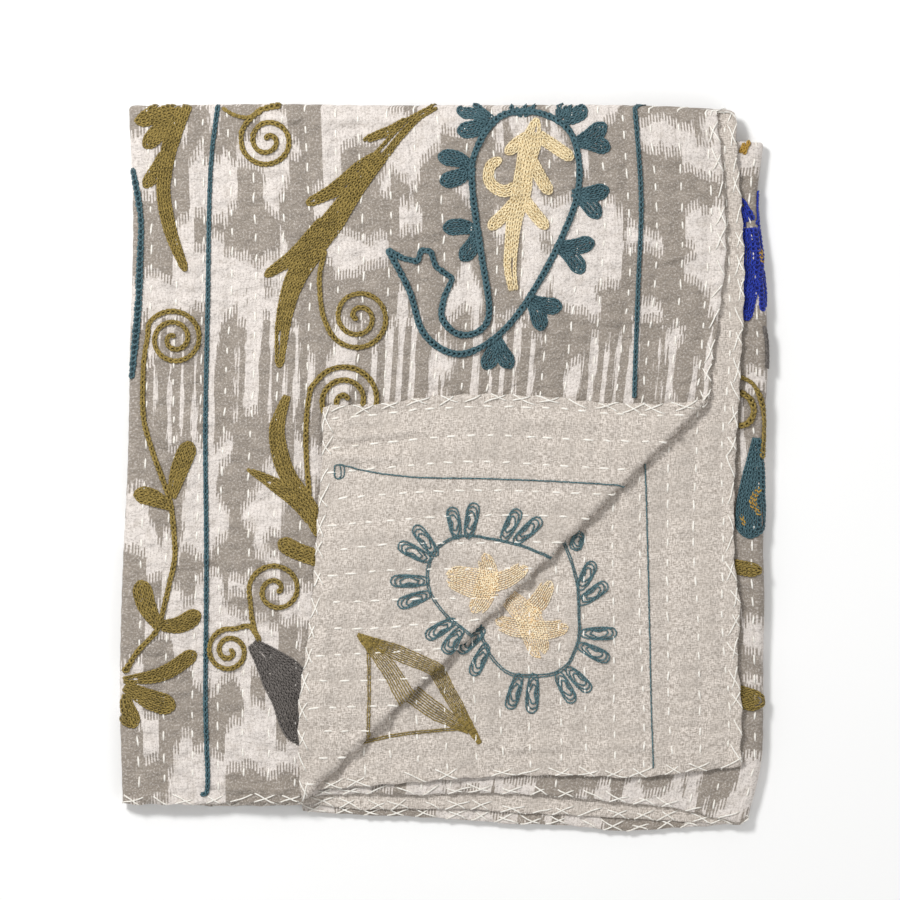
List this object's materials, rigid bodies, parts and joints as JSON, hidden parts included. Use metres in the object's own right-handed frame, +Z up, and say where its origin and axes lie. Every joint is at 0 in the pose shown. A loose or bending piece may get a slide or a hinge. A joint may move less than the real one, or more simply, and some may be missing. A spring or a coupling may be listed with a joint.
{
  "type": "folded quilted throw blanket",
  "caption": "Quilted cotton throw, folded flat in layers with one corner turned back; printed, embroidered face and plain back, for a bed or sofa.",
  "frame": {"origin": "middle of the folded throw's footprint, on the surface it lies on", "axes": "+Z up, +Y towards the edge where the cloth is folded in half, +X towards the side where the free side hems of the upper layers lie"},
  "size_m": [0.6168, 0.692, 0.0347],
  "materials": {
    "quilted_cotton": "matt woven cotton with quilting and embroidery"
  },
  "bodies": {
    "root": {"quilted_cloth": "quilted_cotton"}
  },
  "joints": []
}
